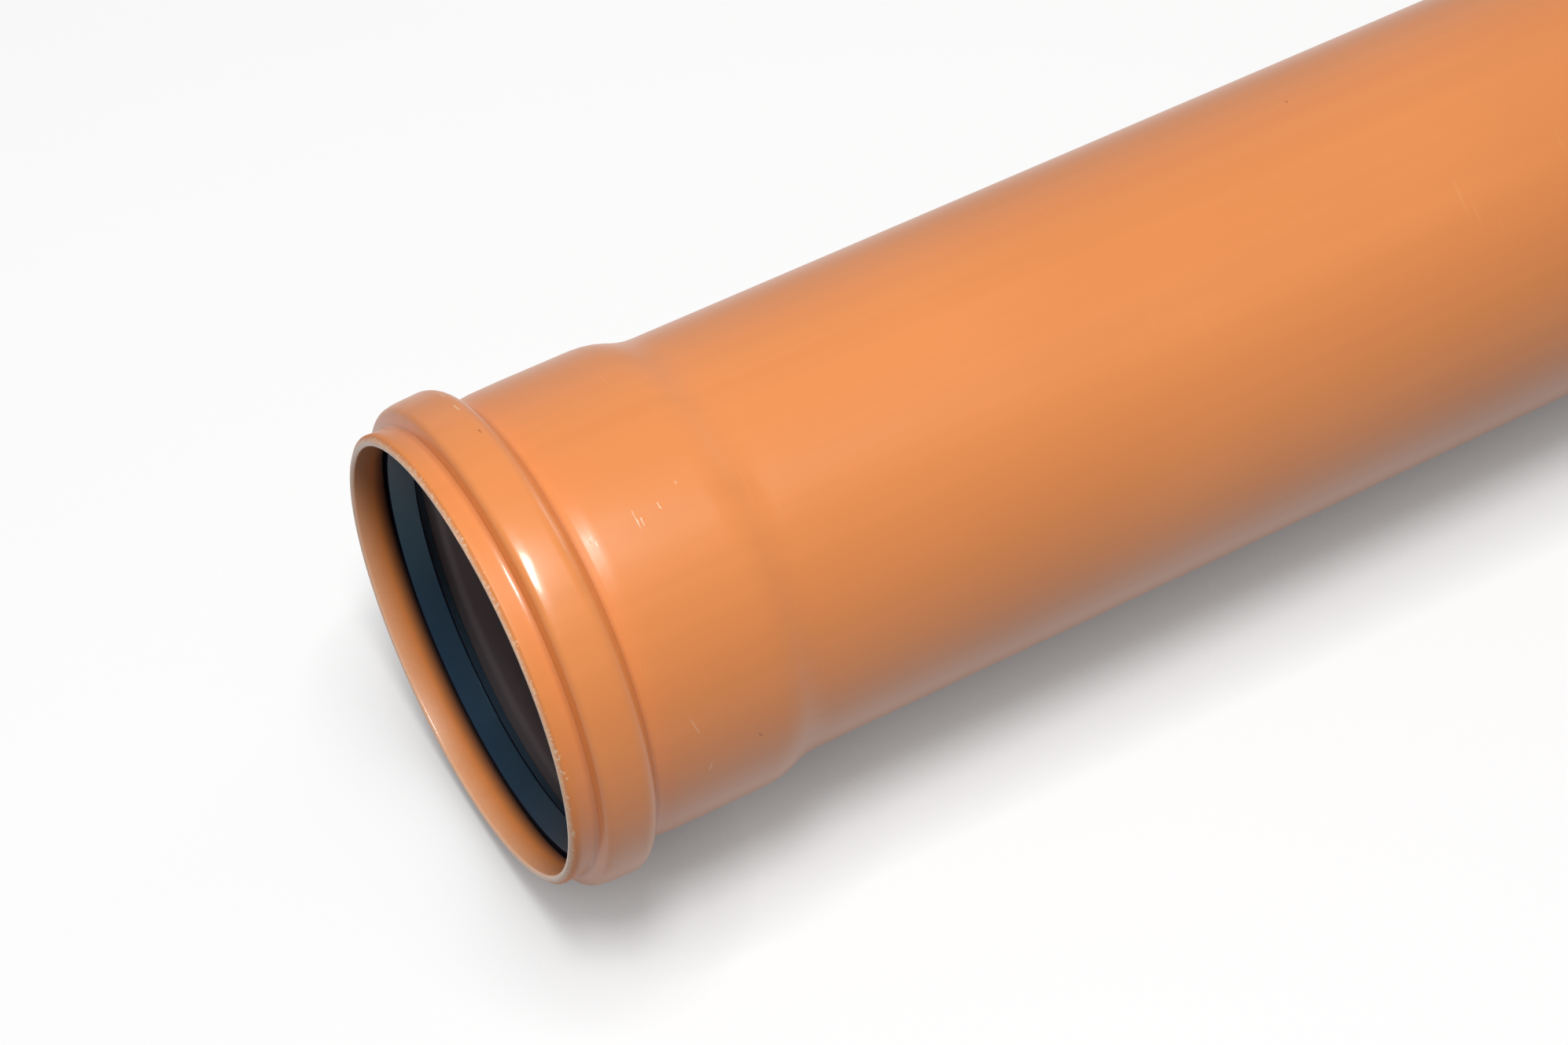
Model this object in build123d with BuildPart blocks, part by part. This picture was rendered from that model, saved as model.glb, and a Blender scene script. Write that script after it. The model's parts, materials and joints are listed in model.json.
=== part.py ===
"""Sewer pipe of unplasticised PVC with a formed ring-seal socket, and the sealing ring in its bead.

The pipe lies on the floor as it would if it were put down: on the crest of the socket's bead and on the
edge of the spigot's chamfer, so its axis dips a little from the socket towards the spigot. Depths are
measured along the axis from the socket's mouth, and radii from the axis.
"""
import os
from math import asin, atan2, cos, degrees, hypot, radians, sin, tan

from build123d import *

# Pipe (millimetres and degrees)
pipe_diameter = 160.0
pipe_wall = 4.0
laying_length = 1000.0

# Spigot, the plain end that goes into the next socket
chamfer_length = 7.0
chamfer_angle = 15.0

# Socket, widened from the same wall, which thins as it stretches
socket_wall = 3.8
socket_clearance = 0.9
insertion_depth = 82.0
taper_angle = 21.4
taper_bend = 30.0

# Lip between the mouth and the bead
lip_length = 10.9
lip_flare = 0.65

# Bead that holds the sealing ring, and the shallow neck behind it
bead_height = 7.4
bead_width = 17.6
bead_front_angle = 85.0
bead_rear_angle = 61.0
front_foot_bend = 3.2
front_shoulder_bend = 3.4
rear_shoulder_bend = 3.8
neck_depth = 1.3
neck_length = 4.5
neck_bend = 18.0

# Sealing ring: a body that fills the groove and a lip that slopes inwards, away from the mouth
ring_clearance = 0.25
ring_nose_recess = 1.2
ring_heel_height = 3.0
lip_tip_depth = 23.5
lip_squeeze = 1.5
lip_thickness = 2.2
lip_undercut = 5.0

# Radii that follow from the sizes above
pipe_radius = pipe_diameter / 2
pipe_bore = pipe_radius - pipe_wall
socket_bore = pipe_radius + socket_clearance
socket_radius = socket_bore + socket_wall
lip_bore = socket_bore + lip_flare
lip_radius = lip_bore + socket_wall
bead_radius = socket_radius + bead_height
groove_radius = bead_radius - socket_wall
neck_radius = socket_radius - neck_depth
spigot_tip_radius = pipe_radius - chamfer_length * tan(radians(chamfer_angle))

# Depths of the corners where the outside of the wall turns
overall_length = laying_length + insertion_depth
front_slope = tan(radians(bead_front_angle))
rear_slope = tan(radians(bead_rear_angle))
taper_slope = tan(radians(taper_angle))
front_shoulder = lip_length + (bead_radius - lip_radius) / front_slope
rear_shoulder = front_shoulder + bead_width
rear_foot = rear_shoulder + (bead_radius - neck_radius) / rear_slope
neck_end = rear_foot + neck_length
taper_knee = insertion_depth + taper_bend * tan(radians(taper_angle / 2))
taper_toe = taper_knee + (socket_radius - pipe_radius) / taper_slope
chamfer_start = overall_length - chamfer_length

# Depths of the same corners on the inside, one wall away
front_step = socket_wall * tan(radians(bead_front_angle / 2))
rear_step = socket_wall * tan(radians(bead_rear_angle / 2))
groove_mouth = lip_length + front_step
groove_front = front_shoulder + front_step
groove_rear = rear_shoulder - rear_step
groove_end = groove_rear + (groove_radius - socket_bore) / rear_slope
bore_knee = taper_knee - socket_wall * tan(radians(taper_angle / 2))
bore_toe = bore_knee + (socket_bore - pipe_bore) / taper_slope

# Rest on the floor: the line that touches the bead's rear shoulder and the edge of the chamfer
shoulder_depth = rear_shoulder - rear_shoulder_bend * tan(radians(bead_rear_angle / 2))
shoulder_radius = bead_radius - rear_shoulder_bend
contact_span = chamfer_start - shoulder_depth
contact_drop = shoulder_radius - pipe_radius
dip = atan2(contact_drop, contact_span) + asin(rear_shoulder_bend / hypot(contact_span, contact_drop))
mouth_height = shoulder_depth * sin(dip) + shoulder_radius * cos(dip) + rear_shoulder_bend
mouth_offset = -(overall_length * cos(dip) + (spigot_tip_radius - lip_radius) * sin(dip)) / 2

# The half plane of the profiles: its X is the pipe's axis from mouth to spigot, its Y is the radius
lying = Plane(
    origin=(mouth_offset, 0, mouth_height),
    x_dir=(cos(dip), 0, -sin(dip)),
    z_dir=(0, -1, 0),
)
pipe_axis = Axis(lying.origin, lying.x_dir)

# Pipe with its socket: the crease behind the bead and the corners of the groove are sharp
outer_corners = [
    (0, lip_radius),
    (lip_length, lip_radius),
    (front_shoulder, bead_radius),
    (rear_shoulder, bead_radius),
    (rear_foot, neck_radius),
    (neck_end, socket_radius),
    (taper_knee, socket_radius),
    (taper_toe, pipe_radius),
    (chamfer_start, pipe_radius),
    (overall_length, spigot_tip_radius),
]
outer_bends = [
    front_foot_bend,
    front_shoulder_bend,
    rear_shoulder_bend,
    0,
    neck_bend,
    taper_bend,
    taper_bend,
    0,
]
inner_corners = [
    (0, lip_bore),
    (groove_mouth, lip_bore),
    (groove_front, groove_radius),
    (groove_rear, groove_radius),
    (groove_end, socket_bore),
    (bore_knee, socket_bore),
    (bore_toe, pipe_bore),
    (overall_length, pipe_bore),
]
inner_bends = [
    front_foot_bend + socket_wall,
    0,
    0,
    socket_wall,
    taper_bend - socket_wall,
    taper_bend + pipe_wall,
]

with BuildPart() as pipe:
    with BuildSketch(lying):
        with BuildLine():
            outside = FilletPolyline(*outer_corners, radius=outer_bends)
            inside = FilletPolyline(*inner_corners, radius=inner_bends)
            Line(outside @ 0, inside @ 0)
            Line(outside @ 1, inside @ 1)
        make_face()
    revolve(axis=pipe_axis)
pipe.part.label = "pipe"

# Sealing ring: its flanks run beside the groove's own, one clearance away
ring_radius = groove_radius - ring_clearance
nose_radius = lip_bore + ring_nose_recess
heel_radius = ring_radius - ring_heel_height
lip_tip_radius = pipe_radius - lip_squeeze
front_gap = ring_clearance / sin(radians(bead_front_angle))
rear_gap = ring_clearance / sin(radians(bead_rear_angle))
ring_front = groove_front - (groove_radius - ring_radius) / front_slope + front_gap
ring_rear = groove_rear + (groove_radius - ring_radius) / rear_slope - rear_gap
nose_depth = ring_front - (ring_radius - nose_radius) / front_slope
heel_depth = ring_rear + (ring_radius - heel_radius) / rear_slope
lip_slope = atan2(nose_radius - lip_tip_radius, lip_tip_depth - nose_depth)
tip_back_depth = lip_tip_depth + lip_thickness * sin(lip_slope)
tip_back_radius = lip_tip_radius + lip_thickness * cos(lip_slope)
notch_depth = tip_back_depth - lip_undercut * cos(lip_slope)
notch_radius = tip_back_radius + lip_undercut * sin(lip_slope)

ring_corners = [
    (ring_front, ring_radius),
    (nose_depth, nose_radius),
    (lip_tip_depth, lip_tip_radius),
    (tip_back_depth, tip_back_radius),
    (notch_depth, notch_radius),
    (heel_depth, heel_radius),
    (ring_rear, ring_radius),
]

with BuildPart() as sealing_ring:
    with BuildSketch(lying):
        with BuildLine():
            Polyline(*ring_corners, close=True)
        make_face()
    revolve(axis=pipe_axis)
sealing_ring.part.label = "sealing_ring"

os.makedirs("parts", exist_ok=True)
export_step(pipe.part, "parts/pipe.step")
export_step(sealing_ring.part, "parts/sealing_ring.step")

print(f"dip {degrees(dip):.4f} degrees, mouth at x {mouth_offset:.4f} z {mouth_height:.4f}")
print(f"overall length {overall_length:.2f}, bead diameter {2 * bead_radius:.2f}")
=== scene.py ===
"""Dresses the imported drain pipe: the PVC wall with its formed socket, and the rubber seal in the bead.

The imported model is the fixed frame. Both of its nodes are replaced by finer turned meshes of the same
sections, the pipe with a saw-cut mouth, and a studio with a pale floor and the photograph's camera
stands around them. Sizes are in millimetres and turned to metres where a mesh or a lamp is made.
"""
import json
import logging
import math
from dataclasses import dataclass
from enum import Enum
from functools import reduce

import bmesh
import bpy
from mathutils import Matrix, Vector

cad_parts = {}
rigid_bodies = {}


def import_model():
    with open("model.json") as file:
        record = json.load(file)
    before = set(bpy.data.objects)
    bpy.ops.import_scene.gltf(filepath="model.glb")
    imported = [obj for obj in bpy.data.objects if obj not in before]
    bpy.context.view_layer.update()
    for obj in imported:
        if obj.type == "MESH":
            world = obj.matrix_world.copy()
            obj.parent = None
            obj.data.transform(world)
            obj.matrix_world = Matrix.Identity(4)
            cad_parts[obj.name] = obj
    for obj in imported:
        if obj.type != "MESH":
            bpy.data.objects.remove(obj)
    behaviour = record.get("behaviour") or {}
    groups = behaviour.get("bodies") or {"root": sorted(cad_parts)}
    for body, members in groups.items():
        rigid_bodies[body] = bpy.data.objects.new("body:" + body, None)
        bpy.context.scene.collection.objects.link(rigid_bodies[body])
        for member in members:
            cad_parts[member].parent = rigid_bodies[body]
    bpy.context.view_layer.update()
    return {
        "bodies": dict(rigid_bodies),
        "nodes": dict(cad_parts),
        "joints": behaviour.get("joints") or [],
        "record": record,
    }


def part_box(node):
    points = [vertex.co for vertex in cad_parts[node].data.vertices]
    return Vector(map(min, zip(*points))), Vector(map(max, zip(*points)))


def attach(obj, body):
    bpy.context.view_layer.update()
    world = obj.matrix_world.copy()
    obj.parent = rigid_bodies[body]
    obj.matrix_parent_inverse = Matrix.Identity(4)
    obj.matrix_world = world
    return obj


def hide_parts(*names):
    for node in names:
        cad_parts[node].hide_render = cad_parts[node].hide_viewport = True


MM = 0.001
BODY = "root"
ARC_STEP = math.radians(9.0)

Socket = bpy.types.NodeSocket
Corner = tuple[float, float]
Span = tuple[float, float]
Triple = tuple[float, float, float]
Colour = tuple[float, float, float, float]

log = logging.getLogger("pipe_scene")


class Tone(Enum):
    """How a handling mark differs from the plastic around it."""

    PALE = 1
    DARK = 2


class NodeGraph:
    """Adds nodes to one node tree and links them."""

    def __init__(self, tree: bpy.types.NodeTree) -> None:
        """Keep the tree that the nodes go into."""
        self.tree = tree

    def add(self, kind: str, inputs: dict | None = None, **settings: object) -> bpy.types.Node:
        """Add a node to the tree.

        Args:
            kind: Blender's type name of the node.
            inputs: values or output sockets for the node's inputs, by name or number.
            settings: values for the node's own properties.

        Returns:
            The new node.
        """
        node = self.tree.nodes.new(kind)
        for name, value in settings.items():
            setattr(node, name, value)
        for key, value in (inputs or {}).items():
            self.feed(node.inputs[key], value)
        return node

    def feed(self, socket: Socket, value: object) -> None:
        """Link an output socket to an input, or set the input's own value.

        Args:
            socket: the input.
            value: an output socket, or a plain value.
        """
        if isinstance(value, Socket):
            self.tree.links.new(value, socket)
        else:
            socket.default_value = value

    def math(self, operation: str, *values: object) -> Socket:
        """Add a Math node with its inputs in order and return its result."""
        return self.add("ShaderNodeMath", dict(enumerate(values)), operation=operation).outputs[0]

    def times(self, first: object, second: object) -> Socket:
        """Multiply two numbers."""
        return self.math("MULTIPLY", first, second)

    def line(self, value: object, rise: object, start: object) -> Socket:
        """Multiply a number by a rise and add a start."""
        return self.math("MULTIPLY_ADD", value, rise, start)

    def larger(self, first: object, second: object) -> Socket:
        """Take the larger of two numbers."""
        return self.math("MAXIMUM", first, second)

    def vector(self, operation: str, *values: object) -> Socket:
        """Add a Vector Math node and return its result, a number for a length or a dot product."""
        node = self.add("ShaderNodeVectorMath", dict(enumerate(values)), operation=operation)
        return node.outputs["Value" if operation in ("LENGTH", "DOT_PRODUCT") else "Vector"]

    def blend(self, factor: object, first: object, second: object) -> Socket:
        """Mix two colours, where the factor is the share of the second."""
        node = self.add("ShaderNodeMix", {0: factor, 6: first, 7: second}, data_type="RGBA")
        return node.outputs[2]

    def ramp(self, value: object, low: float, high: float) -> Socket:
        """Map a number smoothly onto 0 to 1: it leaves 0 at low and reaches 1 at high."""
        inputs = {"Value": value, "From Min": low, "From Max": high}
        return self.add("ShaderNodeMapRange", inputs, interpolation_type="SMOOTHSTEP").outputs[0]

    def noise(self, where: object, scale: object, detail: float = 2.0) -> Socket:
        """Add a Noise Texture of a scale (waves in a metre) and a detail (octaves)."""
        inputs = {"Vector": where, "Scale": scale, "Detail": detail}
        return self.add("ShaderNodeTexNoise", inputs).outputs[0]

    def grain(self, where: object, waves: Triple, detail: float = 2.0) -> Socket:
        """Add a noise with its own number of waves in a metre along each axis."""
        return self.noise(self.vector("MULTIPLY", where, waves), 1.0, detail)

    def attribute(self, name: str) -> Socket:
        """Read a number that the mesh carries on its points."""
        return self.add("ShaderNodeAttribute", attribute_name=name).outputs["Fac"]

    def depth(self, where: object) -> Socket:
        """Take the distance from the mouth out of the pipe's own coordinates."""
        return self.add("ShaderNodeSeparateXYZ", {0: where}).outputs[0]

    def bump(self, height: object, strength: float, reach: float) -> Socket:
        """Add a Bump node whose height of 1 stands for a reach in millimetres."""
        inputs = {"Strength": strength, "Distance": reach * MM, "Height": height}
        return self.add("ShaderNodeBump", inputs).outputs[0]

    def surface(self, inputs: dict) -> None:
        """Add a Principled shader with these inputs and make it the material's surface."""
        shader = self.add("ShaderNodeBsdfPrincipled", inputs).outputs[0]
        self.add("ShaderNodeOutputMaterial", {"Surface": shader})


@dataclass(frozen=True)
class PipePlace:
    """Where the pipe lies: the centre of its mouth, its axis and the directions across it."""

    mouth: Vector
    along: Vector
    side: Vector
    up: Vector
    length: float

    @classmethod
    def from_frame(cls, frame: dict) -> "PipePlace":
        """Read the pipe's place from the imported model.


        Returns:
            The place, with its mouth on the axis of the spigot's mount.
        """
        spigot = mount(frame, "spigot")
        along = Vector(spigot["axis"]).normalized()
        start = Vector(spigot["pos_m"])
        depths = [(vertex.co - start).dot(along) for vertex in frame["nodes"]["pipe"].data.vertices]
        side = Vector((0.0, 1.0, 0.0))
        return cls(start + along * min(depths), along, side, along.cross(side), max(depths) - min(depths))

    def matrix(self) -> Matrix:
        """Transform from depth, side and height at the mouth to the row's frame."""
        turned = Matrix((self.along, self.side, self.up)).transposed()
        return Matrix.Translation(self.mouth) @ turned.to_4x4()

    def point(self, depth: float, side: float, up: float) -> Vector:
        """Point at these distances (metres) from the mouth, in the row's frame."""
        return self.mouth + self.along * depth + self.side * side + self.up * up

    def coordinates(self, graph: NodeGraph) -> Socket:
        """Give a material the pipe's own coordinates: depth, side and height at the mouth.

        Args:
            graph: the material's nodes.

        Returns:
            The output socket of the coordinates, in metres.
        """
        source = graph.add("ShaderNodeTexCoord").outputs["Object"]
        inputs = {"Vector": source, "Location": self.mouth, "Rotation": self.matrix().to_euler()}
        return graph.add("ShaderNodeMapping", inputs, vector_type="TEXTURE").outputs[0]


def mount(frame: dict, name: str) -> dict:
    """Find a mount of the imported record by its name."""
    return next(entry for entry in frame["record"]["mounts"] if entry["name"] == name)


def slope(angle: float) -> float:
    """Rise of a line over its run, at an angle in degrees."""
    return math.tan(math.radians(angle))


def share(value: float, low: float, high: float) -> float:
    """Where a value stands between two others, from 0 at the first to 1 at the second."""
    return min(max((value - low) / (high - low), 0.0), 1.0)


def add_object(name: str, data: bpy.types.ID) -> bpy.types.Object:
    """Put a new object into the scene.

    Args:
        name: the object's name.
        data: its mesh, lamp or camera.

    Returns:
        The object, at the origin.
    """
    thing = bpy.data.objects.new(name, data)
    bpy.context.scene.collection.objects.link(thing)
    return thing


def blank_material(name: str) -> tuple[bpy.types.Material, NodeGraph]:
    """Make a material that has no nodes yet.

    Args:
        name: the material's name.

    Returns:
        The material and the graph of its nodes.
    """
    finish = bpy.data.materials.new(name)
    finish.use_nodes = True
    finish.node_tree.nodes.clear()
    return finish, NodeGraph(finish.node_tree)


def rounded_loop(corners: list[Corner], bends: list[float]) -> list[Corner]:
    """Round the corners of a closed outline with arcs.

    Args:
        corners: the outline's corners in order.
        bends: the bend radius at each corner, 0 where it stays sharp.

    Returns:
        The outline's points in order.
    """
    points: list[Corner] = []
    for index, (corner, bend) in enumerate(zip(corners, bends)):
        here = Vector(corner)
        before = (Vector(corners[index - 1]) - here).normalized()
        after = (Vector(corners[(index + 1) % len(corners)]) - here).normalized()
        turn = math.pi - before.angle(after)
        if bend == 0.0:
            points.append(corner)
            continue
        middle = here + (before + after).normalized() * (bend / math.cos(turn / 2))
        start = here + before * (bend * math.tan(turn / 2)) - middle
        way = 1.0 if before.cross(after) < 0 else -1.0
        steps = max(2, math.ceil(turn / ARC_STEP))
        for step in range(steps + 1):
            angle = way * turn * step / steps
            x = start.x * math.cos(angle) - start.y * math.sin(angle)
            y = start.x * math.sin(angle) + start.y * math.cos(angle)
            points.append((middle.x + x, middle.y + y))
    return points


class TurningTree:
    """Geometry Nodes that turn a section about the pipe's axis and break its sawn edge into chips."""

    NAME = "turned_section"
    SEAM = 0.001 * MM
    BARE_LOSS = (0.02 * MM, 0.12 * MM)
    CHIP_START = 0.46
    CHIP_GAIN = 5.0
    CHIP_FADE = 0.3
    PATCH_SCALE = 3.0
    PATCH_DETAIL = 1.0
    PATCH_RANGE = (0.3, 0.6)

    def __init__(self) -> None:
        """Build the tree."""
        self.tree = bpy.data.node_groups.new(self.NAME, "GeometryNodeTree")
        self.graph = NodeGraph(self.tree)
        self.inputs = self.add_sockets()
        self.entry = self.graph.add("NodeGroupInput").outputs
        self.add_nodes()

    def add_sockets(self) -> dict[str, str]:
        """Returns:
            Each input's identifier by its name.
        """
        kinds = {
            "Section": "NodeSocketGeometry",
            "Segments": "NodeSocketInt",
            "Chip Size": "NodeSocketFloat",
            "Chips Across": "NodeSocketFloat",
            "Seed": "NodeSocketFloat",
            "Finish": "NodeSocketMaterial",
        }
        identifiers = {}
        for name, kind in kinds.items():
            socket = self.tree.interface.new_socket(name=name, in_out="INPUT", socket_type=kind)
            identifiers[name] = socket.identifier
        self.tree.interface.new_socket(name="Geometry", in_out="OUTPUT", socket_type="NodeSocketGeometry")
        return identifiers

    def sample(self, row: Socket, field: Socket, kind: str) -> Socket:
        """Read a value of the section, of a data type, at a row of the grid."""
        inputs = {"Geometry": self.entry["Section"], "Value": field, "Index": row}
        return self.graph.add("GeometryNodeSampleIndex", inputs, data_type=kind).outputs[0]

    def zone(self, name: str, row: Socket) -> Socket:
        """Read one of the section's zones at a row of the grid."""
        source = self.graph.add("GeometryNodeInputNamedAttribute", {"Name": name}, data_type="FLOAT")
        return self.sample(row, source.outputs[0], "FLOAT")

    def store(self, geometry: Socket, name: str, value: Socket) -> Socket:
        """Keep a number on the points of a mesh for its material.

        Args:
            geometry: the mesh.
            name: the attribute's name.
            value: the number.

        Returns:
            The output socket of the mesh.
        """
        inputs = {"Geometry": geometry, "Name": name, "Value": value}
        node = self.graph.add("GeometryNodeStoreNamedAttribute", inputs, data_type="FLOAT", domain="POINT")
        return node.outputs[0]

    def add_nodes(self) -> None:
        """Wire the grid, its turning, the chipped edge, the seam and the finish."""
        g, entry = self.graph, self.entry
        size = g.add("GeometryNodeAttributeDomainSize", {"Geometry": entry["Section"]})
        count = size.outputs["Point Count"]
        across = g.math("ADD", entry["Segments"], 1.0)
        inputs = {"Vertices X": g.math("ADD", count, 1.0), "Vertices Y": across}
        grid = g.add("GeometryNodeMeshGrid", inputs).outputs["Mesh"]
        index = g.add("GeometryNodeInputIndex").outputs[0]
        row = g.math("FLOOR", g.math("DIVIDE", g.math("ADD", index, 0.5), across))
        column = g.math("SUBTRACT", index, g.times(row, across))
        section_row = g.math("FLOORED_MODULO", row, count)
        angle = g.times(g.math("DIVIDE", column, entry["Segments"]), math.tau)
        sine = g.math("SINE", angle)
        cosine = g.math("COSINE", angle)
        place = self.sample(section_row, g.add("GeometryNodeInputPosition").outputs[0], "FLOAT_VECTOR")
        parts = g.add("ShaderNodeSeparateXYZ", {0: place}).outputs
        chip = g.times(self.chip(parts["X"], sine, cosine), self.zone("rim", section_row))
        radius = g.math("SUBTRACT", parts["Z"], chip)
        side = g.times(radius, g.times(sine, -1.0))
        height = g.times(radius, g.times(cosine, -1.0))
        turned = g.add("ShaderNodeCombineXYZ", {0: parts["X"], 1: side, 2: height}).outputs[0]
        bare = g.larger(g.ramp(chip, *self.BARE_LOSS), self.zone("cut", section_row))
        kept = self.store(grid, "bare", bare)
        for name in ("inner", "outer", "rim"):
            kept = self.store(kept, name, self.zone(name, section_row))
        moved = g.add("GeometryNodeSetPosition", {"Geometry": kept, "Position": turned})
        closed = g.add("GeometryNodeMergeByDistance", {"Geometry": moved.outputs[0], "Distance": self.SEAM})
        smooth = g.add("GeometryNodeSetShadeSmooth", {"Geometry": closed.outputs[0]})
        real = g.add("GeometryNodeRealizeInstances", {"Geometry": smooth.outputs[0]})
        inputs = {"Geometry": real.outputs[0], "Material": entry["Finish"]}
        dressed = g.add("GeometryNodeSetMaterial", inputs)
        g.add("NodeGroupOutput", {"Geometry": dressed.outputs[0]})

    def chip(self, depth: Socket, sine: Socket, cosine: Socket) -> Socket:
        """How far the saw broke the edge away at a depth and a place around the mouth.

        Args:
            depth: distance from the mouth.
            sine: sine of the angle around the axis.
            cosine: cosine of that angle.

        Returns:
            The output socket of the loss of radius, in metres.
        """
        g, entry = self.graph, self.entry
        around = g.add("ShaderNodeCombineXYZ", {0: sine, 1: cosine, 2: entry["Seed"]}).outputs[0]
        fine = g.noise(around, entry["Chips Across"])
        patches = g.noise(around, self.PATCH_SCALE, self.PATCH_DETAIL)
        bite = g.larger(g.math("SUBTRACT", fine, self.CHIP_START), 0.0)
        bite = g.times(bite, g.ramp(patches, *self.PATCH_RANGE))
        bite = g.times(bite, g.times(entry["Chip Size"], self.CHIP_GAIN))
        return g.larger(g.math("SUBTRACT", bite, g.times(depth, self.CHIP_FADE)), 0.0)

    def turn(
        self, name: str, section: bpy.types.Mesh, place: PipePlace, settings: dict[str, object]
    ) -> bpy.types.Object:
        """Turn a section into a plain mesh object that lies where the pipe lies.

        Args:
            name: the piece's name.
            section: the section's points, with depth in X and radius in Z.
            place: where the pipe lies.
            settings: the tree's inputs by name.

        Returns:
            The finished object, at the origin, with its place in its mesh.
        """
        draft = add_object(f"{name}_section", section)
        modifier = draft.modifiers.new("turning", "NODES")
        modifier.node_group = self.tree
        for key, value in settings.items():
            modifier[self.inputs[key]] = value
        evaluated = draft.evaluated_get(bpy.context.evaluated_depsgraph_get())
        mesh = bpy.data.meshes.new_from_object(evaluated)
        draft.modifiers.remove(modifier)
        bpy.data.objects.remove(draft)
        mesh.name = name
        mesh.transform(place.matrix())
        face_outwards(mesh)
        return add_object(name, mesh)


def face_outwards(mesh: bpy.types.Mesh) -> None:
    """Point the faces of a closed mesh outwards.

    Args:
        mesh: the mesh.
    """
    work = bmesh.new()
    work.from_mesh(mesh)
    bmesh.ops.recalc_face_normals(work, faces=work.faces)
    work.to_mesh(mesh)
    work.free()


def section_mesh(name: str, points: list[Corner], zones: dict[str, list[float]]) -> bpy.types.Mesh:
    """Make the points of a section, with its zones.

    Args:
        name: the mesh's name.
        points: depth and radius of each point, in millimetres.
        zones: 0 to 1 for each point: rim that the saw may have chipped, cut face, outer wall, and inner,
            which carries painted shade inside the socket and painted light in the seal's undercut.

    Returns:
        A mesh of loose points in metres.
    """
    mesh = bpy.data.meshes.new(name)
    mesh.from_pydata([(depth * MM, 0.0, radius * MM) for depth, radius in points], [], [])
    for title, values in zones.items():
        mesh.attributes.new(title, "FLOAT", "POINT").data.foreach_set("value", values)
    return mesh


@dataclass(frozen=True)
class Mark:
    """A small scratch or nick left by handling, placed on the outside of the pipe."""

    depth: float
    angle: float
    radius: float
    length: float
    width: float
    tone: Tone
    slant: float = 0.0

    def centre(self) -> Vector:
        """Its middle, in the pipe's own coordinates (metres). The angle runs from the top to the viewer."""
        turn = math.radians(self.angle)
        return Vector((self.depth, -self.radius * math.sin(turn), self.radius * math.cos(turn))) * MM

    def run(self) -> Vector:
        """Direction in which it was scratched: around the pipe, slanting along it."""
        turn = math.radians(self.angle)
        return Vector((self.slant, -math.cos(turn), -math.sin(turn))).normalized()


class MarkGroup:
    """Shader node group that is 1 on a short stroke of given place, direction, length and width."""

    INPUTS = {"Place": "Vector", "Centre": "Vector", "Run": "Vector", "Length": "Float", "Width": "Float"}
    EDGE_WAVES = 900.0
    WIDTH_SPREAD = 1.6
    WIDTH_LEAST = 0.2
    FADE = (0.55, 1.0)

    def __init__(self) -> None:
        """Build the group."""
        self.tree = bpy.data.node_groups.new("stroke", "ShaderNodeTree")
        graph = NodeGraph(self.tree)
        sockets = self.tree.interface
        for name, kind in self.INPUTS.items():
            sockets.new_socket(name=name, in_out="INPUT", socket_type=f"NodeSocket{kind}")
        sockets.new_socket(name="Mask", in_out="OUTPUT", socket_type="NodeSocketFloat")
        entry = graph.add("NodeGroupInput").outputs
        offset = graph.vector("SUBTRACT", entry["Place"], entry["Centre"])
        reach = graph.vector("DOT_PRODUCT", offset, entry["Run"])
        step = graph.add("ShaderNodeVectorMath", {0: entry["Run"], "Scale": reach}, operation="SCALE")
        away = graph.vector("LENGTH", graph.vector("SUBTRACT", offset, step.outputs[0]))
        rough = graph.line(graph.noise(entry["Place"], self.EDGE_WAVES), self.WIDTH_SPREAD, self.WIDTH_LEAST)
        across = graph.math("DIVIDE", away, graph.times(entry["Width"], rough))
        ends = graph.math("DIVIDE", graph.math("ABSOLUTE", reach), entry["Length"])
        worst = graph.larger(across, graph.times(ends, 2.0))
        mask = graph.math("SUBTRACT", 1.0, graph.ramp(worst, *self.FADE))
        graph.add("NodeGroupOutput", {"Mask": mask})

    def add(self, graph: NodeGraph, place: Socket, mark: Mark) -> Socket:
        """Add one mark to a material.

        Args:
            graph: the material's nodes.
            place: the pipe's own coordinates.
            mark: the mark.

        Returns:
            The mask's output socket.
        """
        values = {
            "Place": place,
            "Centre": mark.centre(),
            "Run": mark.run(),
            "Length": mark.length * MM,
            "Width": mark.width * MM,
        }
        return graph.add("ShaderNodeGroup", values, node_tree=self.tree).outputs[0]

    def strongest(self, graph: NodeGraph, place: Socket, marks: list[Mark], tone: Tone) -> Socket:
        """Strongest mask of the marks of one tone, at a place on the pipe."""
        masks = [self.add(graph, place, mark) for mark in marks if mark.tone is tone]
        return reduce(graph.larger, masks)


@dataclass(frozen=True)
class Crease:
    """Painted shade around the pipe in a crease: its depth, and how far it reaches before and behind
    (millimetres).
    """

    depth: float
    before: float
    behind: float

    def mask(self, g: NodeGraph, depth: Socket) -> Socket:
        """Share of the painted shade at a depth from the mouth, in metres."""
        rise = g.ramp(depth, (self.depth - self.before) * MM, self.depth * MM)
        return g.times(rise, g.ramp(depth, (self.depth + self.behind) * MM, self.depth * MM))


@dataclass(frozen=True)
class PvcGrain:
    """Waves in a metre of the patterns in the PVC, some for each axis of the pipe, and the patches' shift."""

    cloud: float = 7.0
    peel: float = 260.0
    # Waves of the unevenness in the painted shade of the creases.
    dirt: float = 60.0
    patches: float = 16.0
    patches_at: Triple = (3.1, 1.7, 4.2)
    drawn: Triple = (0.8, 110.0, 110.0)
    fine_drawn: Triple = (4.0, 900.0, 900.0)
    sawn: Triple = (900.0, 260.0, 1300.0)
    torn: Triple = (420.0, 760.0, 760.0)
    rubs: Triple = (620.0, 34.0, 34.0)


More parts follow.
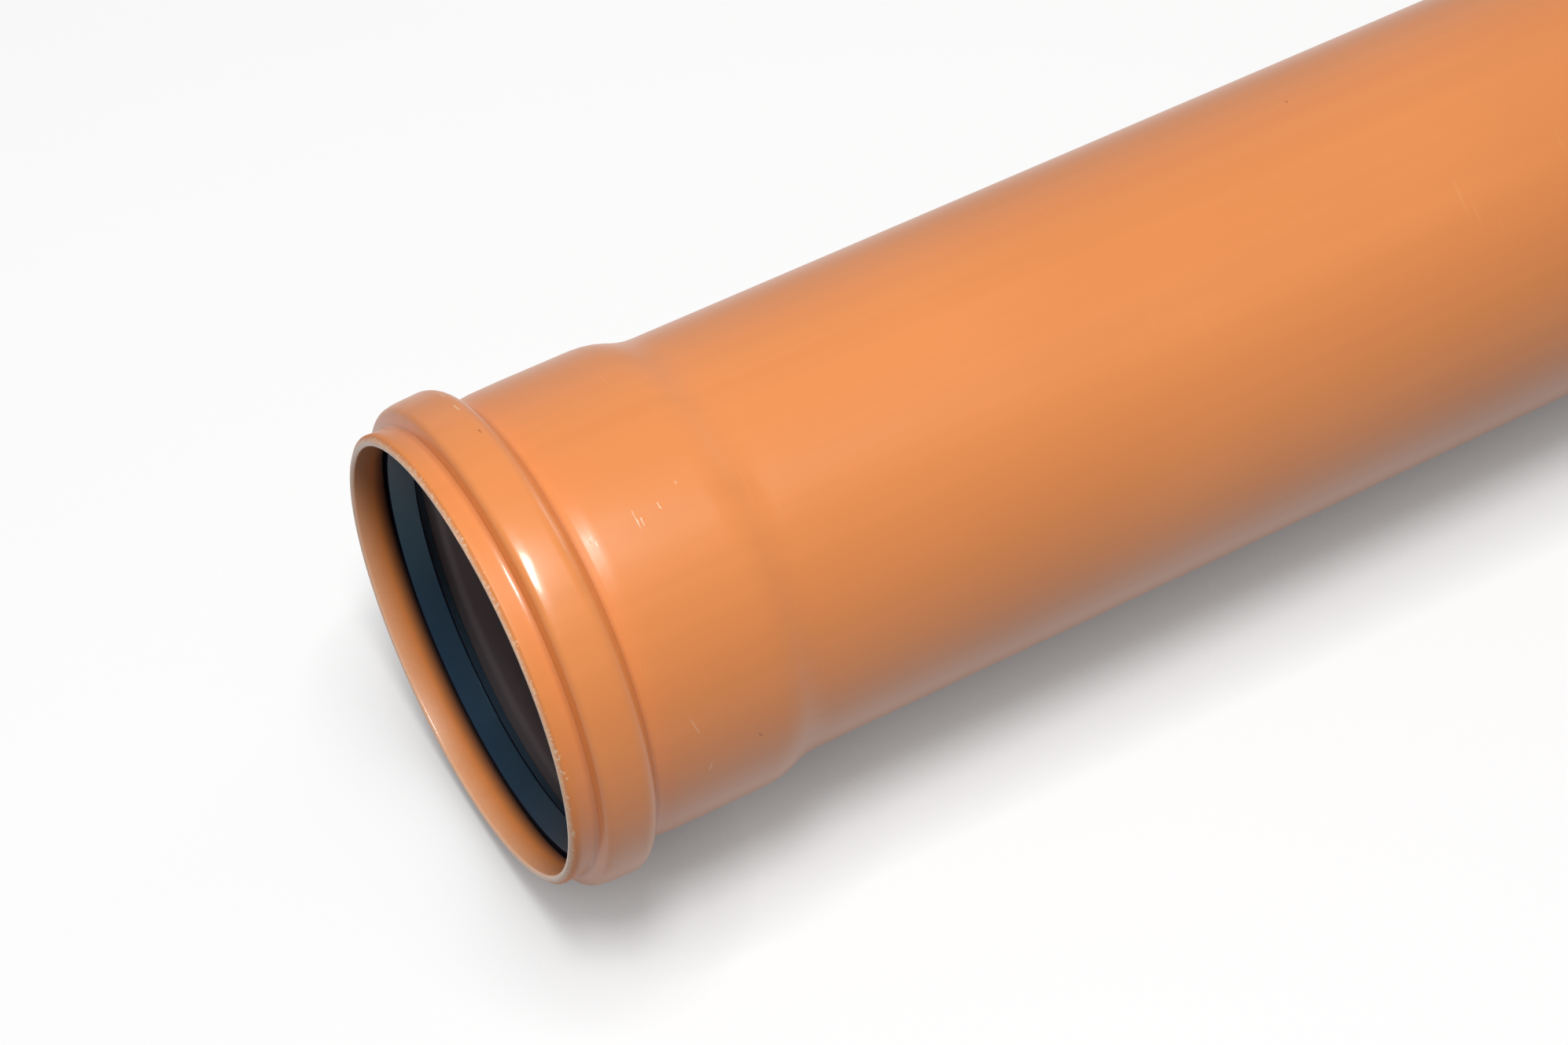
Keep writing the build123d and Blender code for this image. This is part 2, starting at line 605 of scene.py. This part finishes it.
@dataclass(frozen=True)
class PvcRelief:
    """Weights of the fine relief on the PVC, with the bump's strength and its reach in millimetres."""

    drawn: float = 0.25
    peel: float = 0.8
    scuffs: float = -0.5
    marks: float = -1.5
    sawn: float = 3.0
    torn: float = 2.5
    strength: float = 0.35
    reach: float = 0.06


@dataclass(frozen=True)
class PvcFinish:
    """Extruded semi-gloss PVC, with draw lines, faint scuffs, a few marks, bare sawn faces, and painted shade
    in the creases and inside the socket.
    """

    light: Colour = (0.885, 0.3, 0.086, 1.0)
    deep: Colour = (0.825, 0.274, 0.075, 1.0)
    scuffed: Colour = (0.9, 0.4, 0.16, 1.0)
    marked: Colour = (0.93, 0.62, 0.4, 1.0)
    # Dark brown for the dark marks and for the painted shade in the creases.
    dark_mark_and_shade: Colour = (0.34, 0.065, 0.01, 1.0)
    torn: Colour = (0.96, 0.6, 0.38, 1.0)
    sawn: Colour = (0.88, 0.47, 0.27, 1.0)
    sawn_dust: Colour = (0.94, 0.66, 0.48, 1.0)
    # Painted shade inside the socket: dark brown in the groove behind the seal, grey-brown further in.
    groove_shade: Colour = (0.15, 0.075, 0.05, 1.0)
    inside: Colour = (0.38, 0.32, 0.33, 1.0)
    groove_end: Span = (15.0, 30.0)
    shade_range: Span = (0.5, 1.0)
    rub_range: Span = (0.62, 0.74)
    patch_range: Span = (0.52, 0.7)
    drawn_share: float = 0.5
    scuff_share: float = 0.3
    mark_share: float = 0.5
    # Strength and unevenness of the painted shade in the creases.
    crease_shade_share: float = 0.34
    crease_shade_least: float = 0.75
    crease_shade_spread: float = 0.5
    fleck_start: float = 0.45
    fleck_rise: float = 0.12
    fleck_edge: float = 0.08
    roughness: float = 0.32
    roughness_spread: float = 0.08
    scuff_roughness: float = 0.2
    sawn_roughness: float = 0.28
    rim_roughness: float = 0.5
    inside_roughness: float = 0.6
    gloss: float = 0.4
    refraction: float = 1.53
    skin: float = 0.25
    skin_roughness: float = 0.12
    # Where shade is painted around the pipe: the crease before the bead and the one behind it.
    creases: tuple[Crease, ...] = (Crease(9.9, 2.5, 0.5), Crease(33.7, 0.25, 2.0))
    grain: PvcGrain = PvcGrain()
    relief: PvcRelief = PvcRelief()

    def material(self, place: PipePlace, marks: list[Mark]) -> bpy.types.Material:
        """Build the material.

        Args:
            place: where the pipe lies.
            marks: the handling marks on it.

        Returns:
            The material, on object coordinates turned to the pipe's axis.
        """
        finish, g = blank_material("extruded_pvc")
        where = place.coordinates(g)
        waves, weights, spread = self.grain, self.relief, self.roughness_spread
        inner, outer, bare, rim = (g.attribute(name) for name in ("inner", "outer", "bare", "rim"))
        flecks = g.times(rim, self.flecks(g, where))
        cloud = g.noise(where, waves.cloud)
        drawn = g.grain(where, waves.drawn)
        saw_lines = g.grain(where, waves.sawn)
        scuffs = self.scuffs(g, where)
        strokes = MarkGroup()
        pale = strokes.strongest(g, where, marks, Tone.PALE)
        dark = strokes.strongest(g, where, marks, Tone.DARK)
        dirt = g.times(outer, self.dirt(g, where))
        # Dark handling marks together with the painted shade in the creases, both in one dark brown.
        dark = g.larger(g.times(dark, self.mark_share), g.times(dirt, self.crease_shade_share))
        shade = g.ramp(g.line(drawn, self.drawn_share, cloud), *self.shade_range)
        colour = g.blend(shade, self.light, self.deep)
        colour = g.blend(g.times(scuffs, self.scuff_share), colour, self.scuffed)
        colour = g.blend(g.times(pale, self.mark_share), colour, self.marked)
        colour = g.blend(dark, colour, self.dark_mark_and_shade)
        colour = g.blend(bare, colour, g.blend(saw_lines, self.sawn, self.sawn_dust))
        colour = g.blend(flecks, colour, self.torn)
        # Painted shade on the inner wall, from the lip's inside to the bore: dark brown in the groove,
        # grey-brown past it.
        deeper = g.ramp(g.depth(where), *(depth * MM for depth in self.groove_end))
        colour = g.blend(inner, colour, g.blend(deeper, self.groove_shade, self.inside))
        roughness = g.line(cloud, spread, self.roughness - spread / 2)
        roughness = g.line(scuffs, self.scuff_roughness, roughness)
        roughness = g.larger(roughness, g.times(rim, self.rim_roughness))
        roughness = g.add("ShaderNodeMix", {0: bare, 2: roughness, 3: self.sawn_roughness}).outputs[0]
        roughness = g.larger(roughness, g.times(inner, self.inside_roughness))
        relief = g.times(g.grain(where, waves.fine_drawn, 1.0), weights.drawn)
        layers = [
            (g.noise(where, waves.peel), weights.peel),
            (scuffs, weights.scuffs),
            (pale, weights.marks),
            (g.times(bare, saw_lines), weights.sawn),
            (flecks, weights.torn),
        ]
        for layer, weight in layers:
            relief = g.line(layer, weight, relief)
        bump = g.bump(relief, weights.strength, weights.reach)
        inputs = {
            "Base Color": colour,
            "Roughness": roughness,
            "Normal": bump,
            "IOR": self.refraction,
            "Specular IOR Level": self.gloss,
            "Coat Weight": g.line(g.larger(inner, rim), -self.skin, self.skin),
            "Coat Roughness": self.skin_roughness,
            "Coat Normal": bump,
        }
        g.surface(inputs)
        return finish

    def flecks(self, g: NodeGraph, where: Socket) -> Socket:
        """Pale torn flecks that the saw left on the outside, next to the mouth's edge."""
        limit = g.line(g.depth(where), self.fleck_rise / MM, self.fleck_start)
        return g.ramp(g.math("SUBTRACT", g.grain(where, self.grain.torn), limit), 0.0, self.fleck_edge)

    def dirt(self, g: NodeGraph, where: Socket) -> Socket:
        """Painted shade in the creases before and behind the bead, uneven along them.

        Args:
            g: the material's nodes.
            where: the pipe's own coordinates.

        Returns:
            The mask's output socket.
        """
        depth = g.depth(where)
        shade_share = reduce(g.larger, [crease.mask(g, depth) for crease in self.creases])
        uneven = g.line(g.noise(where, self.grain.dirt), self.crease_shade_spread, self.crease_shade_least)
        return g.math("MINIMUM", g.times(shade_share, uneven), 1.0)

    def scuffs(self, g: NodeGraph, where: Socket) -> Socket:
        """Faint short rubs around the pipe, in scattered patches.

        Args:
            g: the material's nodes.
            where: the pipe's own coordinates.

        Returns:
            The mask's output socket.
        """
        rubs = g.grain(where, self.grain.rubs, 3.0)
        patches = g.noise(g.vector("ADD", where, self.grain.patches_at), self.grain.patches)
        return g.times(g.ramp(rubs, *self.rub_range), g.ramp(patches, *self.patch_range))


@dataclass(frozen=True)
class RubberFinish:
    """Moulded blue-black rubber with a faint bloom, fine rings around the pipe's axis, and painted light in
    the undercut behind its lip.
    """

    fresh: Colour = (0.004, 0.011, 0.036, 1.0)
    bloom: Colour = (0.01, 0.024, 0.056, 1.0)
    # Lighter blue-grey painted into the shaded undercut behind the lip, as painted light.
    lit_undercut: Colour = (0.08, 0.14, 0.21, 1.0)
    glint: Colour = (0.48, 0.85, 1.0, 1.0)
    roughness: float = 0.36
    roughness_spread: float = 0.16
    gloss: float = 0.52
    bloom_range: Span = (0.35, 0.7)
    cloud_waves: float = 45.0
    ring_waves: Triple = (1600.0, 14.0, 14.0)
    ring_share: float = 0.8
    pore_waves: float = 700.0
    bump_strength: float = 0.3
    bump_reach: float = 0.08

    def material(self, place: PipePlace) -> bpy.types.Material:
        """Build the material.

        Args:
            place: where the pipe lies.

        Returns:
            The material, on object coordinates turned to the pipe's axis.
        """
        finish, g = blank_material("seal_rubber")
        where = place.coordinates(g)
        cloud = g.noise(where, self.cloud_waves, 3.0)
        rings = g.grain(where, self.ring_waves)
        colour = g.blend(g.ramp(cloud, *self.bloom_range), self.fresh, self.bloom)
        # Painted light: the undercut behind the lip turns lighter blue-grey.
        colour = g.blend(g.attribute("inner"), colour, self.lit_undercut)
        relief = g.line(rings, self.ring_share, g.noise(where, self.pore_waves))
        inputs = {
            "Base Color": colour,
            "Roughness": g.line(cloud, self.roughness_spread, self.roughness - self.roughness_spread / 2),
            "Normal": g.bump(relief, self.bump_strength, self.bump_reach),
            "Specular IOR Level": self.gloss,
            "Specular Tint": self.glint,
        }
        g.surface(inputs)
        return finish


@dataclass(frozen=True)
class SocketSizes:
    """Sizes of the pipe's section in millimetres and degrees, as the real one is formed."""

    pipe_radius: float
    pipe_bore: float
    socket_bore: float
    bead_radius: float
    overall_length: float
    socket_wall: float = 3.8
    insertion_depth: float = 82.0
    taper_angle: float = 21.4
    taper_bend: float = 30.0
    chamfer_length: float = 7.0
    chamfer_angle: float = 15.0
    lip_length: float = 10.9
    lip_flare: float = 0.65
    bead_width: float = 17.6
    front_angle: float = 85.0
    rear_angle: float = 61.0
    front_foot_bend: float = 3.2
    rear_shoulder_bend: float = 6.5
    crease_bend: float = 0.5
    groove_corner: float = 0.8
    neck_depth: float = 0.95

    @classmethod
    def from_frame(cls, frame: dict, place: PipePlace) -> "SocketSizes":
        """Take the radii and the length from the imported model.

        Args:
            place: where the pipe lies.

        Returns:
            The sizes.
        """
        low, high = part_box("pipe")
        return cls(
            pipe_radius=mount(frame, "spigot")["dims"]["r_mm"],
            pipe_bore=mount(frame, "pipe_bore")["dims"]["r_mm"],
            socket_bore=mount(frame, "socket")["dims"]["r_mm"],
            bead_radius=(high[1] - low[1]) / 2 / MM,
            overall_length=place.length / MM,
        )

    @property
    def socket_radius(self) -> float:
        """Outside of the socket."""
        return self.socket_bore + self.socket_wall

    @property
    def lip_bore(self) -> float:
        """Inside of the lip."""
        return self.socket_bore + self.lip_flare

    @property
    def groove_radius(self) -> float:
        """Floor of the groove inside the bead."""
        return self.bead_radius - self.socket_wall

    @property
    def front_shoulder(self) -> float:
        """Depth of the corner between the bead's front face and its crest."""
        rise = self.bead_radius - self.lip_bore - self.socket_wall
        return self.lip_length + rise / slope(self.front_angle)

    @property
    def groove_front(self) -> float:
        """Depth of the groove's front corner."""
        return self.front_shoulder + self.socket_wall * slope(self.front_angle / 2)

    @property
    def groove_rear(self) -> float:
        """Depth of the groove's rear corner."""
        step = self.socket_wall * slope(self.rear_angle / 2)
        return self.front_shoulder + self.bead_width - step


@dataclass(frozen=True)
class Bend:
    """A rounded corner of a section: its offset along the axis and outwards, and its bend radius."""

    along: float
    outwards: float
    radius: float

    def at(self, depth: float, radius: float) -> tuple[Corner, float]:
        """The corner and its bend, offset from a depth and a radius."""
        return (depth + self.along, radius + self.outwards), self.radius


@dataclass
class SocketPipe:
    """The pipe's wall: lip, bead, socket, taper, barrel and chamfered spigot in one closed section."""

    sizes: SocketSizes
    finish: PvcFinish
    name: str = "socket_pipe"
    segments: int = 640
    edge_round: float = 0.3
    outer_rim_round: float = 1.4
    face_round: float = 1.2
    inner_rim_round: float = 1.2
    face_width: float = 1.9
    bevel: float = 1.7
    lip_cone: float = 0.2
    lip_foot: Bend = Bend(-2.5, 0.0, 4.4)
    front_crease: Bend = Bend(-0.9, 0.6, 0.6)
    front_brow: Bend = Bend(0.68, -1.38, 3.2)
    front_crest: Bend = Bend(4.4, -0.45, 18.0)
    crest_rise: float = 0.12
    neck_floor: Bend = Bend(3.2, 0.04, 6.0)
    neck_rise: Bend = Bend(8.2, 0.71, 26.0)
    neck_end: Bend = Bend(22.1, 0.0, 200.0)
    rim_depth: float = 3.2
    sawn_outside: float = 1.2
    sawn_inside: float = 2.4
    sawn_most: float = 0.85
    tip_face: float = 0.05
    tip_points: int = 2
    # Where the painted shade on the inner wall rises, and where it fades back into the bore.
    shade_start: float = 8.0
    shade_end: float = 14.5
    bore_start: float = 85.0
    bore_end: float = 150.0
    chip_size: float = 0.5
    chips_across: float = 70.0
    seed: float = 4.0

    def outside(self) -> list[tuple[Corner, float]]:
        """Draw the outside, from the mouth to the spigot's tip.

        Returns:
            Its corners with their bends.
        """
        s = self.sizes
        lip_radius = s.lip_bore + s.socket_wall
        neck_radius = s.socket_radius - s.neck_depth
        crest = s.bead_radius
        rear_shoulder = s.front_shoulder + s.bead_width
        rear_foot = rear_shoulder + (crest - neck_radius) / slope(s.rear_angle)
        knee = s.insertion_depth + s.taper_bend * slope(s.taper_angle / 2)
        toe = knee + (s.socket_radius - s.pipe_radius) / slope(s.taper_angle)
        tip_radius = s.pipe_radius - s.chamfer_length * slope(s.chamfer_angle)
        foot = lip_radius - self.lip_cone
        return [
            ((0.0, s.lip_bore + self.face_width), self.face_round),
            ((self.bevel, lip_radius + self.lip_cone), self.outer_rim_round),
            self.lip_foot.at(s.lip_length, foot),
            self.front_crease.at(s.lip_length, foot),
            self.front_brow.at(s.lip_length, crest),
            self.front_crest.at(s.lip_length, crest),
            ((rear_shoulder, crest + self.crest_rise), s.rear_shoulder_bend),
            ((rear_foot, neck_radius), s.crease_bend),
            self.neck_floor.at(rear_foot, neck_radius),
            self.neck_rise.at(rear_foot, neck_radius),
            self.neck_end.at(rear_foot, s.socket_radius),
            ((knee, s.socket_radius), s.taper_bend),
            ((toe, s.pipe_radius), s.taper_bend),
            ((s.overall_length - s.chamfer_length, s.pipe_radius), self.edge_round),
            ((s.overall_length, tip_radius), self.edge_round),
        ]

    def inside(self) -> list[tuple[Corner, float]]:
        """Draw the inside, from the spigot's tip to the mouth.

        Returns:
            Its corners with their bends.
        """
        s = self.sizes
        groove_mouth = s.lip_length + s.socket_wall * slope(s.front_angle / 2)
        groove_end = s.groove_rear + (s.groove_radius - s.socket_bore) / slope(s.rear_angle)
        knee = s.insertion_depth + (s.taper_bend - s.socket_wall) * slope(s.taper_angle / 2)
        toe = knee + (s.socket_bore - s.pipe_bore) / slope(s.taper_angle)
        return [
            ((s.overall_length, s.pipe_bore), self.edge_round),
            ((toe, s.pipe_bore), s.taper_bend + s.pipe_radius - s.pipe_bore),
            ((knee, s.socket_bore), s.taper_bend - s.socket_wall),
            ((groove_end, s.socket_bore), s.socket_wall),
            ((s.groove_rear, s.groove_radius), s.groove_corner),
            ((s.groove_front, s.groove_radius), s.groove_corner),
            ((groove_mouth, s.lip_bore), s.front_foot_bend + s.socket_wall),
            ((0.0, s.lip_bore), self.inner_rim_round),
        ]

    def zones(self, points: list[Corner]) -> dict[str, list[float]]:
        """Tell the walls, the sawn faces, the edge that the saw may have chipped, and the share of painted
        shade on the inner wall.

        Args:
            points: depth and radius of each point of the section.

        Returns:
            A share from 0 to 1 at each point, by the zone's name.
        """
        tip = points.index(max(points))
        end = self.sizes.overall_length
        lip_middle = self.sizes.lip_bore + self.sizes.socket_wall / 2
        zones: dict[str, list[float]] = {"rim": [], "cut": [], "inner": [], "outer": []}
        for index, (depth, radius) in enumerate(points):
            outer = index <= tip
            zones["outer"].append(float(outer))
            zones["rim"].append(float(depth < self.rim_depth and radius > lip_middle))
            sawn = share(depth, self.sawn_outside if outer else self.sawn_inside, 0.0)
            zones["cut"].append(1.0 if depth > end - self.tip_face else min(sawn, self.sawn_most))
            # Share of painted shade on the inner wall.
            shade = share(depth, self.shade_start, self.shade_end)
            shade *= share(depth, self.bore_end, self.bore_start)
            zones["inner"].append(shade if index > tip + self.tip_points else 0.0)
        return zones

    def build(self, tree: TurningTree, place: PipePlace, marks: list[Mark]) -> bpy.types.Object:
        """Build and dress the pipe in place of its CAD node.

        Args:
            tree: the turning tree.
            place: where the pipe lies.
            marks: the handling marks on it.

        Returns:
            The finished piece.
        """
        loop = self.outside() + self.inside()
        points = rounded_loop([corner for corner, _ in loop], [bend for _, bend in loop])
        settings = {
            "Segments": self.segments,
            "Chip Size": self.chip_size * MM,
            "Chips Across": self.chips_across,
            "Seed": self.seed,
            "Finish": self.finish.material(place, marks),
        }
        section = section_mesh(self.name, points, self.zones(points))
        piece = tree.turn(self.name, section, place, settings)
        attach(piece, BODY)
        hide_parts("pipe")
        return piece


@dataclass
class LipSeal:
    """The rubber ring in the bead: a body that fills the groove and a lip that slopes inwards."""

    sizes: SocketSizes
    finish: RubberFinish
    name: str = "lip_seal"
    segments: int = 360
    clearance: float = 0.25
    nose_recess: float = 1.2
    heel_height: float = 3.0
    tip_depth: float = 23.5
    squeeze: float = 1.5
    lip_thickness: float = 2.2
    undercut: float = 5.0
    edge_round: float = 0.55

    def section(self) -> list[Corner]:
        """Draw the ring's rounded section.

        Returns:
            Its points.
        """
        s = self.sizes
        front_slope = slope(s.front_angle)
        rear_slope = slope(s.rear_angle)
        radius = s.groove_radius - self.clearance
        front_gap = self.clearance / math.sin(math.radians(s.front_angle))
        rear_gap = self.clearance / math.sin(math.radians(s.rear_angle))
        front = s.groove_front - self.clearance / front_slope + front_gap
        rear = s.groove_rear + self.clearance / rear_slope - rear_gap
        nose = s.lip_bore + self.nose_recess
        nose_depth = front - (radius - nose) / front_slope
        heel = radius - self.heel_height
        tip = s.pipe_radius - self.squeeze
        dip = math.atan2(nose - tip, self.tip_depth - nose_depth)
        back = Vector((self.tip_depth, tip)) + Vector((math.sin(dip), math.cos(dip))) * self.lip_thickness
        notch = back + Vector((-math.cos(dip), math.sin(dip))) * self.undercut
        corners = [
            (front, radius),
            (nose_depth, nose),
            (self.tip_depth, tip),
            tuple(back),
            tuple(notch),
            (rear + (radius - heel) / rear_slope, heel),
            (rear, radius),
        ]
        bends = [s.groove_corner] + [self.edge_round] * 5 + [s.groove_corner]
        return rounded_loop(corners, bends)

    def recess(self, depth: float, radius: float) -> float:
        """Share of the painted light at a point of the section, from 0 on the lip to 1 in the undercut behind
        it.
        """
        bore = self.sizes.socket_bore
        return share(radius, bore, bore + self.nose_recess) if depth > self.tip_depth - self.undercut else 0.0

    def build(self, tree: TurningTree, place: PipePlace) -> bpy.types.Object:
        """Build and dress the ring in place of its CAD node.

        Args:
            tree: the turning tree.
            place: where the pipe lies.

        Returns:
            The finished piece.
        """
        points = self.section()
        zones = {name: [0.0] * len(points) for name in ("rim", "cut", "outer")}
        # The inner zone carries the painted light in the undercut behind the lip.
        zones["inner"] = [self.recess(depth, radius) for depth, radius in points]
        settings = {
            "Segments": self.segments,
            "Chip Size": 0.0,
            "Chips Across": 1.0,
            "Seed": 0.0,
            "Finish": self.finish.material(place),
        }
        piece = tree.turn(self.name, section_mesh(self.name, points, zones), place, settings)
        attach(piece, BODY)
        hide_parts("sealing_ring")
        return piece


@dataclass(frozen=True)
class Lamp:
    """A rectangular studio lamp, placed from the mouth in metres along, across and above the pipe."""

    name: str
    place: Triple
    aim: Triple
    size: tuple[float, float]
    power: float

    def build(self, pipe: PipePlace) -> None:
        """Add the lamp to the scene.

        Args:
            pipe: where the pipe lies.
        """
        data = bpy.data.lights.new(self.name, "AREA")
        data.shape = "RECTANGLE"
        data.size, data.size_y = self.size
        data.energy = self.power
        start = pipe.point(*self.place)
        way = pipe.point(*self.aim) - start
        turned = way.to_track_quat("-Z", "Y").to_matrix().to_4x4()
        add_object(self.name, data).matrix_world = Matrix.Translation(start) @ turned


@dataclass(frozen=True)
class PhotoCamera:
    """The photograph's camera, fitted to the mouth's ellipse and the barrel's edges."""

    frame_width: float = 1994.0
    frame_height: float = 1329.0
    focal_pixels: float = 5312.5
    mouth_pixel: tuple[float, float] = (580.8, 843.1)
    mouth_distance: float = 1.4589
    azimuth: float = -29.84
    elevation: float = 51.52
    sensor: float = 36.0
    nearest: float = 0.05

    def build(self, pipe: PipePlace) -> None:
        """Add the camera and make it the scene's own.

        Args:
            pipe: where the pipe lies.
        """
        turn, lift = math.radians(self.azimuth), math.radians(self.elevation)
        forward = Vector((-math.sin(turn) * math.cos(lift), math.cos(turn) * math.cos(lift), -math.sin(lift)))
        right = Vector((math.cos(turn), math.sin(turn), 0.0))
        upward = right.cross(forward)
        across = (self.mouth_pixel[0] - self.frame_width / 2) / self.focal_pixels
        down = (self.mouth_pixel[1] - self.frame_height / 2) / self.focal_pixels
        start = -(forward + right * across - upward * down) * self.mouth_distance
        turned = Matrix((right, upward, -forward)).transposed().to_4x4()
        data = bpy.data.cameras.new("photo_camera")
        data.sensor_width = self.sensor
        data.lens = self.focal_pixels / self.frame_width * self.sensor
        data.clip_start = self.nearest
        camera = add_object("photo_camera", data)
        camera.matrix_world = pipe.matrix() @ Matrix.Translation(start) @ turned
        bpy.context.scene.camera = camera


@dataclass(frozen=True)
class Studio:
    """Pale floor, plain world and lamps around the lying pipe, in metres.

    The floor glows where it is looked at, less within contact_reach of the pipe. In reflections the glow
    behind the pipe falls over dim_reach and loses dim_share.
    """

    floor_half: float = 6.0
    floor_colour: Colour = (0.33, 0.33, 0.33, 1.0)
    floor_glow: float = 0.69
    contact_reach: float = 0.055
    dim_reach: Span = (0.05, 0.5)
    dim_share: float = 0.5
    world_colour: Colour = (0.93, 0.97, 1.0, 1.0)
    world_shown: float = 0.68
    world_light: float = 0.1
    lamps: tuple[Lamp, ...] = (
        Lamp("key", (-0.16, -0.4, 1.8), (0.05, 0.0, 0.05), (0.34, 0.54), 30.0),
        Lamp("panel", (0.46, -0.4, 1.45), (0.04, 0.0, 0.08), (0.5, 0.6), 0.6),
        Lamp("end_fill", (1.75, 0.45, 0.65), (1.0, 0.0, 0.0), (0.6, 0.6), 3.0),
    )

    def build(self, pipe: PipePlace) -> None:
        """Set the floor, the world, the lamps and the view.

        Args:
            pipe: where the pipe lies.
        """
        self.floor()
        self.world()
        for lamp in self.lamps:
            lamp.build(pipe)
        bpy.context.scene.view_settings.view_transform = "Standard"

    def shown(self, graph: NodeGraph) -> Socket:
        """Tell what is looked at, straight or in a reflection, from what only lights the object.

        Args:
            graph: the nodes of a material or the world.

        Returns:
            The output socket, 1 for camera, glossy and transmission rays.
        """
        path = graph.add("ShaderNodeLightPath").outputs
        straight = graph.larger(path["Is Camera Ray"], path["Is Glossy Ray"])
        return graph.larger(straight, path["Is Transmission Ray"])

    def floor(self) -> None:
        """Lay the floor under the pipe."""
        half = self.floor_half
        mesh = bpy.data.meshes.new("floor")
        corners = [(-half, -half, 0.0), (half, -half, 0.0), (half, half, 0.0), (-half, half, 0.0)]
        mesh.from_pydata(corners, [], [(0, 1, 2, 3)])
        finish, g = blank_material("floor_paint")
        contact = g.add("ShaderNodeAmbientOcclusion", {"Distance": self.contact_reach}).outputs["AO"]
        place = g.add("ShaderNodeSeparateXYZ", {0: g.add("ShaderNodeTexCoord").outputs["Object"]})
        behind = g.ramp(place.outputs["Y"], *self.dim_reach)
        dimmed = g.times(behind, g.add("ShaderNodeLightPath").outputs["Is Glossy Ray"])
        glow = g.line(dimmed, -self.dim_share * self.floor_glow, self.floor_glow)
        glow = g.times(g.times(self.shown(g), contact), glow)
        paint = g.add("ShaderNodeBsdfDiffuse", {"Color": self.floor_colour}).outputs[0]
        light = g.add("ShaderNodeEmission", {"Strength": glow}).outputs[0]
        both = g.add("ShaderNodeAddShader", {0: paint, 1: light}).outputs[0]
        g.add("ShaderNodeOutputMaterial", {"Surface": both})
        mesh.materials.append(finish)
        floor = add_object("floor", mesh)

    def world(self) -> None:
        """Surround the scene with a plain pale backdrop that gives only a little light."""
        world = bpy.data.worlds.new("studio")
        world.use_nodes = True
        world.node_tree.nodes.clear()
        g = NodeGraph(world.node_tree)
        spread = self.world_shown - self.world_light
        strength = g.line(self.shown(g), spread, self.world_light)
        backdrop = g.add("ShaderNodeBackground", {"Color": self.world_colour, "Strength": strength})
        g.add("ShaderNodeOutputWorld", {"Surface": backdrop.outputs[0]})
        bpy.context.scene.world = world


def handling_marks(sizes: SocketSizes) -> list[Mark]:
    """List the nicks and scratches on the outside of the pipe.

    Args:
        sizes: the pipe's sizes, for the radius that each mark lies on.

    Returns:
        The marks.
    """
    bead, socket, barrel = sizes.bead_radius, sizes.socket_radius, sizes.pipe_radius
    return [
        Mark(26.3, -34.6, bead, 6.0, 0.5, Tone.PALE),
        Mark(25.5, -25.0, bead, 6.5, 0.45, Tone.PALE),
        Mark(32.5, -29.5, bead - 5.0, 7.0, 0.8, Tone.PALE),
        Mark(39.4, 21.6, socket - 0.4, 2.2, 0.4, Tone.PALE),
        Mark(40.6, 23.0, socket - 0.3, 2.6, 0.4, Tone.PALE),
        Mark(56.8, 21.6, socket, 8.0, 0.3, Tone.PALE),
        Mark(58.4, 22.6, socket, 4.0, 0.25, Tone.PALE),
        Mark(66.1, 20.7, socket, 3.0, 0.28, Tone.PALE),
        Mark(75.2, 17.3, socket, 1.3, 0.35, Tone.PALE),
        Mark(16.5, 44.4, bead, 2.6, 0.35, Tone.PALE),
        Mark(50.5, 72.6, socket, 11.0, 0.28, Tone.PALE, 0.3),
        Mark(54.4, 87.7, socket, 5.0, 0.32, Tone.PALE, -0.3),
        Mark(42.4, -7.7, socket, 12.0, 0.28, Tone.DARK),
        Mark(25.5, -13.1, bead, 2.4, 0.6, Tone.DARK),
        Mark(74.1, 84.7, socket, 3.0, 0.5, Tone.DARK, 0.5),
        Mark(356.3, -17.1, barrel, 1.8, 0.6, Tone.DARK),
    ]


def main() -> None:
    """Load the frame, build and dress the two pieces, and set up the studio."""
    logging.basicConfig(level=logging.INFO, format="%(name)s: %(message)s")
    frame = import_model()
    place = PipePlace.from_frame(frame)
    sizes = SocketSizes.from_frame(frame, place)
    tree = TurningTree()
    pieces = [
        SocketPipe(sizes, PvcFinish()).build(tree, place, handling_marks(sizes)),
        LipSeal(sizes, RubberFinish()).build(tree, place),
    ]
    for piece in pieces:
        log.info("%s: %d faces", piece.name, len(piece.data.polygons))
    Studio().build(place)
    PhotoCamera().build(place)


if __name__ == "__main__":
    main()
